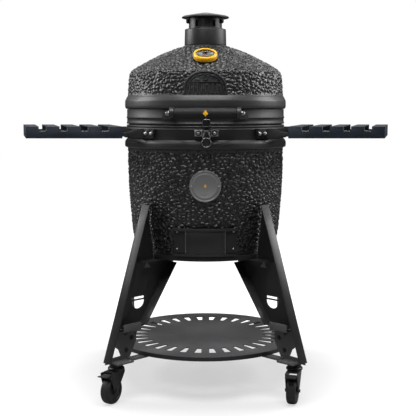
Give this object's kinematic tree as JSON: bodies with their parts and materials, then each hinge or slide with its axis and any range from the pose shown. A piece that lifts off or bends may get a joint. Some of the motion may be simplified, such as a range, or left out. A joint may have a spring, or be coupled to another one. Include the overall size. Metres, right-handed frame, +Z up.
{
  "type": "kamado grill",
  "caption": "Egg-shaped ceramic charcoal grill with a hinged dome, top vent and draft door, on a wheeled steel stand with a shelf and fold-down side tables.",
  "frame": {"origin": "floor level under the centre of the whole grill, on the axis of the bowl", "axes": "+Z up; the front, with the handle and the draft door, faces -Y; +X is to the right of a person who faces the grill's front"},
  "size_m": [1.364, 0.7521, 1.298],
  "materials": {
    "glaze": "dark grey glaze, glossy, dimpled",
    "fireclay": "matt fired clay",
    "band_steel": "semi-gloss black powder coat",
    "felt": "dark heat-proof felt",
    "stand_steel": "dark grey textured powder coat",
    "bracket_steel": "mid grey powder coat",
    "table_steel": "blue-grey satin powder coat",
    "stainless": "brushed stainless",
    "cast_iron": "rough cast",
    "cast_aluminium": "black coated casting",
    "grip": "black ribbed grip",
    "bezel": "yellow-orange enamel",
    "dial": "black dial, printed scale",
    "needle": "red pointer",
    "glass": "clear flat glass",
    "caster_rubber": "black moulded rubber",
    "badge_metal": "embossed grey disc"
  },
  "bodies": {
    "root": {"base_shell": "glaze", "base_band": "band_steel", "base_gasket": "felt", "fire_box_base": "fireclay", "fire_box_wall": "fireclay", "fire_ring": "fireclay", "charcoal_grate": "cast_iron", "cooking_grate": "stainless", "draft_frame": "cast_aluminium", "base_badge": "badge_metal", "cradle_ring": "stand_steel", "shelf": "bracket_steel", "hinge_base": "band_steel", "hinge_pin": "stainless", "hinge_spring": "stainless", "latch_plate": "stainless", "leg_front_right": "stand_steel", "leg_front_left": "stand_steel", "leg_back_right": "stand_steel", "leg_back_left": "stand_steel", "foot_bracket_front_right": "bracket_steel", "foot_bracket_front_left": "bracket_steel", "foot_bracket_back_right": "bracket_steel", "foot_bracket_back_left": "bracket_steel", "table_arm_front_left": "band_steel", "table_arm_back_left": "band_steel", "table_arm_front_right": "band_steel", "table_arm_back_right": "band_steel"},
    "lid": {"dome_shell": "glaze", "dome_band": "band_steel", "dome_gasket": "felt", "hinge_lid_arm": "band_steel", "handle_bracket_left": "cast_aluminium", "handle_bracket_right": "cast_aluminium", "handle_grip": "grip", "handle_rod": "stainless", "latch_keeper": "cast_aluminium", "thermometer_case": "dial", "thermometer_bezel": "bezel", "thermometer_glass": "glass", "vent_base": "cast_aluminium"},
    "thermometer_needle": {"thermometer_needle": "needle"},
    "vent_cap": {"vent_rotor": "cast_aluminium", "rain_cap": "cast_aluminium"},
    "draft_door": {"draft_door": "cast_aluminium"},
    "draft_screen": {"draft_screen": "stainless"},
    "latch_lever": {"latch_lever": "cast_aluminium"},
    "latch_bail": {"latch_bail": "stainless"},
    "table_left": {"table_left": "table_steel"},
    "table_right": {"table_right": "table_steel"},
    "caster_front_right": {"caster_fork_front_right": "stand_steel"},
    "wheel_front_right": {"caster_wheel_front_right": "caster_rubber"},
    "brake_pedal_front_right": {"brake_pedal_front_right": "caster_rubber"},
    "caster_front_left": {"caster_fork_front_left": "stand_steel"},
    "wheel_front_left": {"caster_wheel_front_left": "caster_rubber"},
    "brake_pedal_front_left": {"brake_pedal_front_left": "caster_rubber"},
    "caster_back_right": {"caster_fork_back_right": "stand_steel"},
    "wheel_back_right": {"caster_wheel_back_right": "caster_rubber"},
    "caster_back_left": {"caster_fork_back_left": "stand_steel"},
    "wheel_back_left": {"caster_wheel_back_left": "caster_rubber"}
  },
  "joints": [
    {"name": "lid_hinge", "type": "hinge", "parent": "root", "child": "lid", "pos_m": [0, 0.322, 0.911], "axis": [-1, 0, 0], "range_deg": [0, 75]},
    {"name": "gauge_needle", "type": "hinge", "parent": "lid", "child": "thermometer_needle", "pos_m": [0, -0.2, 1.131], "axis": [0, -0.4618, 0.887], "range_deg": [-130, 130]},
    {"name": "vent_turn", "type": "hinge", "parent": "lid", "child": "vent_cap", "pos_m": [0, 0, 1.25], "axis": [0, 0, 1], "range_deg": [0, 30]},
    {"name": "draft_door_slide", "type": "hinge", "parent": "root", "child": "draft_door", "pos_m": [0, 0, 0.526], "axis": [0, 0, 1], "range_deg": [0, 26]},
    {"name": "draft_screen_slide", "type": "hinge", "parent": "root", "child": "draft_screen", "pos_m": [0, 0, 0.526], "axis": [0, 0, 1], "range_deg": [0, 26]},
    {"name": "latch_lever_hinge", "type": "hinge", "parent": "root", "child": "latch_lever", "pos_m": [0.004, -0.291, 0.884], "axis": [-1, 0, 0], "range_deg": [0, 65]},
    {"name": "latch_bail_hinge", "type": "hinge", "parent": "latch_lever", "child": "latch_bail", "pos_m": [0.004, -0.2975, 0.87], "axis": [1, 0, 0], "range_deg": [0, 60]},
    {"name": "table_left_fold", "type": "hinge", "parent": "root", "child": "table_left", "pos_m": [-0.29195, -0.06454, 0.878], "axis": [0.2158, -0.9764, 0], "range_deg": [0, 90]},
    {"name": "table_right_fold", "type": "hinge", "parent": "root", "child": "table_right", "pos_m": [0.29195, -0.06454, 0.878], "axis": [0.2158, 0.9764, 0], "range_deg": [0, 90]},
    {"name": "caster_front_right_swivel", "type": "hinge", "parent": "root", "child": "caster_front_right", "pos_m": [0.29486, -0.29486, 0.12], "axis": [0, 0, 1], "continuous": true},
    {"name": "wheel_front_right_spin", "type": "hinge", "parent": "caster_front_right", "child": "wheel_front_right", "pos_m": [0.2871, -0.32384, 0.045], "axis": [0.9659, -0.2588, 0], "continuous": true},
    {"name": "brake_front_right", "type": "hinge", "parent": "caster_front_right", "child": "brake_pedal_front_right", "pos_m": [0.2814, -0.34509, 0.1], "axis": [0.9659, -0.2588, 0], "range_deg": [0, 10]},
    {"name": "caster_front_left_swivel", "type": "hinge", "parent": "root", "child": "caster_front_left", "pos_m": [-0.29486, -0.29486, 0.12], "axis": [0, 0, 1], "continuous": true},
    {"name": "wheel_front_left_spin", "type": "hinge", "parent": "caster_front_left", "child": "wheel_front_left", "pos_m": [-0.30895, -0.32135, 0.045], "axis": [0.8829, -0.4695, 0], "continuous": true},
    {"name": "brake_front_left", "type": "hinge", "parent": "caster_front_left", "child": "brake_pedal_front_left", "pos_m": [-0.31928, -0.34078, 0.1], "axis": [0.8829, -0.4695, 0], "range_deg": [0, 10]},
    {"name": "caster_back_right_swivel", "type": "hinge", "parent": "root", "child": "caster_back_right", "pos_m": [0.29486, 0.29486, 0.12], "axis": [0, 0, 1], "continuous": true},
    {"name": "wheel_back_right_spin", "type": "hinge", "parent": "caster_back_right", "child": "wheel_back_right", "pos_m": [0.2871, 0.32384, 0.045], "axis": [-0.9659, -0.2588, 0], "continuous": true},
    {"name": "caster_back_left_swivel", "type": "hinge", "parent": "root", "child": "caster_back_left", "pos_m": [-0.29486, 0.29486, 0.12], "axis": [0, 0, 1], "continuous": true},
    {"name": "wheel_back_left_spin", "type": "hinge", "parent": "caster_back_left", "child": "wheel_back_left", "pos_m": [-0.30895, 0.32135, 0.045], "axis": [-0.8829, -0.4695, 0], "continuous": true}
  ]
}
